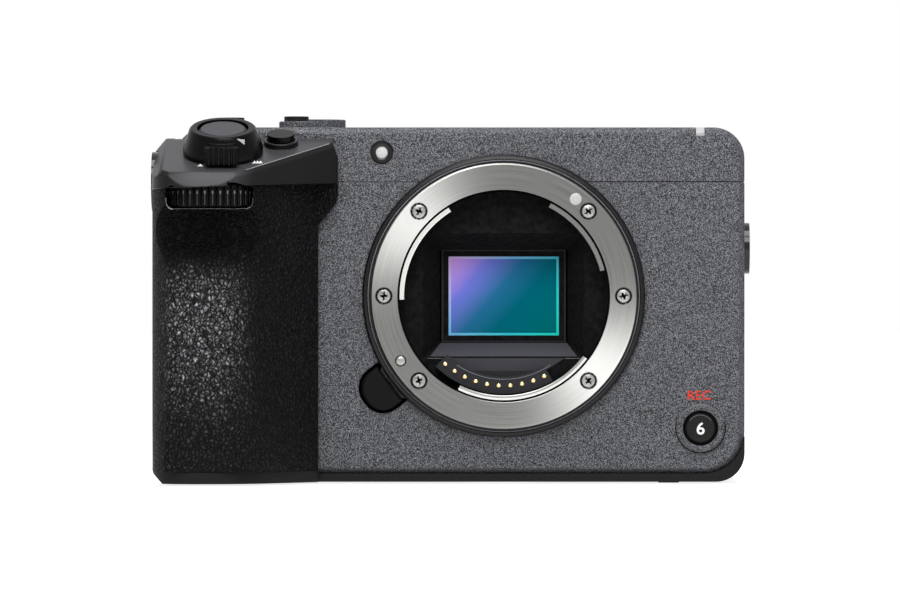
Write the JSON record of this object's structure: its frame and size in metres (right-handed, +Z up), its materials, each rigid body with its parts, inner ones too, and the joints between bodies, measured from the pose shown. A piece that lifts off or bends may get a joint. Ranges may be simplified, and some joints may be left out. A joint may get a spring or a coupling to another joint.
{
  "type": "cinema camera body",
  "caption": "Compact box-shaped cinema camera body without a lens, with hand grip, bayonet lens mount, threaded accessory sockets and a swing-out monitor.",
  "frame": {"origin": "centre of the tripod socket's mouth in the base, under the optical axis", "axes": "+Z up, -Y out of the lens mount, +X to the right seen from the front"},
  "size_m": [0.1299, 0.0841, 0.0801],
  "materials": {
    "speckled_paint": "fine speckled matte",
    "matte_black": "fine matte grain",
    "smooth_black": "smooth satin",
    "gloss_black": "polished",
    "lever_black": "satin",
    "dial_black": "satin, ribbed edge",
    "button_satin": "satin metal",
    "grip_rubber": "grained",
    "foot_rubber": "smooth",
    "brushed_flange": "turned",
    "ring_black": "satin",
    "screw_steel": "satin",
    "socket_steel": "satin",
    "socket_black": "satin",
    "shoe_steel": "satin",
    "chamber_black": "flocked matte",
    "contact_gold": "polished",
    "sensor_glass": "coated",
    "screen_glass": "polished",
    "lamp_window": "frosted",
    "dark_plate": "matte",
    "bare_aluminium": "milled",
    "board_green": "lacquered",
    "rec_red": "satin",
    "battery_grey": "matte"
  },
  "bodies": {
    "housing": {"front_cover": "speckled_paint", "top_cover": "speckled_paint", "chassis": "speckled_paint", "rear_cover": "speckled_paint", "bottom_cover": "matte_black", "feet": "foot_rubber", "tripod_boss": "socket_steel", "thread_inserts": "socket_black", "mount_base_ring": "ring_black", "mount_flange": "brushed_flange", "mount_screws": "screw_steel", "light_box": "chamber_black", "contact_block": "chamber_black", "contact_pins": "contact_gold", "cooling_block": "bare_aluminium", "main_board": "board_green", "grip_shell": "matte_black", "grip_skin": "grip_rubber", "grip_top": "smooth_black", "hot_shoe": "shoe_steel", "tally_lamp": "lamp_window", "light_sensor": "gloss_black", "battery": "battery_grey", "card_slots": "dark_plate", "port_block": "dark_plate"},
    "zoom_lever": {"zoom_lever": "lever_black"},
    "shutter_button": {"shutter_button": "button_satin"},
    "grip_button": {"grip_button": "lever_black"},
    "front_dial": {"front_dial": "dial_black"},
    "rear_dial": {"rear_dial": "dial_black"},
    "button_one": {"button_one": "matte_black"},
    "button_two": {"button_two": "matte_black"},
    "button_three": {"button_three": "matte_black"},
    "rec_button": {"rec_button": "rec_red"},
    "button_six": {"button_six": "matte_black"},
    "lens_release": {"lens_release_button": "matte_black"},
    "lock_pin": {"lock_pin": "screw_steel"},
    "stabiliser": {"stabiliser_frame": "bare_aluminium"},
    "sensor": {"sensor_carrier": "dark_plate", "sensor_window": "sensor_glass"},
    "fan": {"fan_rotor": "matte_black"},
    "battery_door": {"battery_door": "matte_black"},
    "battery_latch": {"battery_door_latch": "matte_black"},
    "card_door": {"card_door": "speckled_paint"},
    "port_cover_usb": {"port_cover_usb": "matte_black"},
    "port_cover_hdmi": {"port_cover_hdmi": "matte_black"},
    "port_cover_audio": {"port_cover_audio": "matte_black"},
    "control_wheel": {"control_wheel": "dial_black"},
    "wheel_button": {"wheel_button": "button_satin"},
    "fn_button": {"fn_button": "matte_black"},
    "menu_button": {"menu_button": "matte_black"},
    "play_button": {"play_button": "matte_black"},
    "delete_button": {"delete_button": "matte_black"},
    "gimbal": {"joystick_gimbal": "matte_black"},
    "joystick": {"joystick": "foot_rubber"},
    "power_switch": {"power_switch": "lever_black"},
    "monitor": {"monitor_arm": "matte_black", "monitor_panel": "smooth_black", "monitor_glass": "screen_glass"}
  },
  "joints": [
    {"name": "zoom_lever_turn", "type": "hinge", "parent": "housing", "child": "zoom_lever", "pos_m": [-0.0606, -0.0306, 0.07151], "axis": [0, -0.342, 0.9397], "range_deg": [-14, 14], "stiffness_Nm_per_rad": 0.02},
    {"name": "shutter_press", "type": "slide", "parent": "housing", "child": "shutter_button", "axis": [0, 0.342, -0.9397], "range_m": [0, 0.0009], "stiffness_N_per_m": 300},
    {"name": "grip_button_press", "type": "slide", "parent": "housing", "child": "grip_button", "axis": [0, 0.342, -0.9397], "range_m": [0, 0.0008], "stiffness_N_per_m": 300},
    {"name": "front_dial_turn", "type": "hinge", "parent": "housing", "child": "front_dial", "pos_m": [-0.0632, -0.0338, 0.06225], "axis": [0, 0, 1], "continuous": true},
    {"name": "rear_dial_turn", "type": "hinge", "parent": "housing", "child": "rear_dial", "pos_m": [-0.058, 0.0228, 0.0703], "axis": [0, 0, 1], "continuous": true},
    {"name": "button_one_press", "type": "slide", "parent": "housing", "child": "button_one", "axis": [0, 0, -1], "range_m": [0, 0.0008], "stiffness_N_per_m": 300},
    {"name": "button_two_press", "type": "slide", "parent": "housing", "child": "button_two", "axis": [0, 0, -1], "range_m": [0, 0.0008], "stiffness_N_per_m": 300},
    {"name": "button_three_press", "type": "slide", "parent": "housing", "child": "button_three", "axis": [0, 0, -1], "range_m": [0, 0.0008], "stiffness_N_per_m": 300},
    {"name": "rec_button_press", "type": "slide", "parent": "housing", "child": "rec_button", "axis": [0, 0, -1], "range_m": [0, 0.0008], "stiffness_N_per_m": 300},
    {"name": "button_six_press", "type": "slide", "parent": "housing", "child": "button_six", "axis": [0, 1, 0], "range_m": [0, 0.0008], "stiffness_N_per_m": 300},
    {"name": "lens_release_press", "type": "slide", "parent": "housing", "child": "lens_release", "axis": [0, 1, 0], "range_m": [0, 0.0012], "stiffness_N_per_m": 300},
    {"name": "lock_pin_draw", "type": "slide", "parent": "housing", "child": "lock_pin", "axis": [0, 1, 0], "range_m": [0, 0.0012], "stiffness_N_per_m": 300},
    {"name": "sensor_shift_x", "type": "slide", "parent": "housing", "child": "stabiliser", "axis": [1, 0, 0], "range_m": [-0.0012, 0.0012], "stiffness_N_per_m": 200},
    {"name": "sensor_shift_z", "type": "slide", "parent": "stabiliser", "child": "sensor", "axis": [0, 0, 1], "range_m": [-0.0012, 0.0012], "stiffness_N_per_m": 200},
    {"name": "fan_spin", "type": "hinge", "parent": "housing", "child": "fan", "pos_m": [0.026, 0.009, 0.027], "axis": [0, 1, 0], "continuous": true},
    {"name": "battery_door_swing", "type": "hinge", "parent": "housing", "child": "battery_door", "pos_m": [-0.0453, -0.007, 0.0012], "axis": [0, -1, 0], "range_deg": [0, 90]},
    {"name": "battery_latch_slide", "type": "slide", "parent": "battery_door", "child": "battery_latch", "axis": [-1, 0, 0], "range_m": [0, 0.0012]},
    {"name": "card_door_swing", "type": "hinge", "parent": "housing", "child": "card_door", "pos_m": [-0.07075, 0.021, 0.036], "axis": [0, 0, 1], "range_deg": [-95, 0]},
    {"name": "port_cover_usb_swing", "type": "hinge", "parent": "housing", "child": "port_cover_usb", "pos_m": [0.05165, 0.0052, 0.01775], "axis": [0, 0, 1], "range_deg": [-95, 0]},
    {"name": "port_cover_hdmi_swing", "type": "hinge", "parent": "housing", "child": "port_cover_hdmi", "pos_m": [0.05165, 0.0052, 0.03], "axis": [0, 0, 1], "range_deg": [-95, 0]},
    {"name": "port_cover_audio_swing", "type": "hinge", "parent": "housing", "child": "port_cover_audio", "pos_m": [0.05165, 0.0052, 0.04125], "axis": [0, 0, 1], "range_deg": [-95, 0]},
    {"name": "control_wheel_turn", "type": "hinge", "parent": "housing", "child": "control_wheel", "pos_m": [-0.05, 0.0315, 0.031], "axis": [0, 1, 0], "continuous": true},
    {"name": "wheel_button_press", "type": "slide", "parent": "housing", "child": "wheel_button", "axis": [0, -1, 0], "range_m": [0, 0.0008], "stiffness_N_per_m": 300},
    {"name": "fn_button_press", "type": "slide", "parent": "housing", "child": "fn_button", "axis": [0, -1, 0], "range_m": [0, 0.0008], "stiffness_N_per_m": 300},
    {"name": "menu_button_press", "type": "slide", "parent": "housing", "child": "menu_button", "axis": [0, -1, 0], "range_m": [0, 0.0008], "stiffness_N_per_m": 300},
    {"name": "play_button_press", "type": "slide", "parent": "housing", "child": "play_button", "axis": [0, -1, 0], "range_m": [0, 0.0008], "stiffness_N_per_m": 300},
    {"name": "delete_button_press", "type": "slide", "parent": "housing", "child": "delete_button", "axis": [0, -1, 0], "range_m": [0, 0.0008], "stiffness_N_per_m": 300},
    {"name": "joystick_pan", "type": "hinge", "parent": "housing", "child": "gimbal", "pos_m": [-0.038, 0.0301, 0.0575], "axis": [0, 0, 1], "range_deg": [-7, 7], "stiffness_Nm_per_rad": 0.01},
    {"name": "joystick_tilt", "type": "hinge", "parent": "gimbal", "child": "joystick", "pos_m": [-0.038, 0.0301, 0.0575], "axis": [1, 0, 0], "range_deg": [-7, 7], "stiffness_Nm_per_rad": 0.01},
    {"name": "power_switch_slide", "type": "slide", "parent": "housing", "child": "power_switch", "axis": [-1, 0, 0], "range_m": [0, 0.0044]},
    {"name": "monitor_swing", "type": "hinge", "parent": "housing", "child": "monitor", "pos_m": [0.0496, 0.0347, 0.035], "axis": [0, 0, 1], "range_deg": [-176, 0]}
  ],
  "couplings": [
    {"joint": "lock_pin_draw", "follows": "lens_release_press", "ratio": 1}
  ]
}
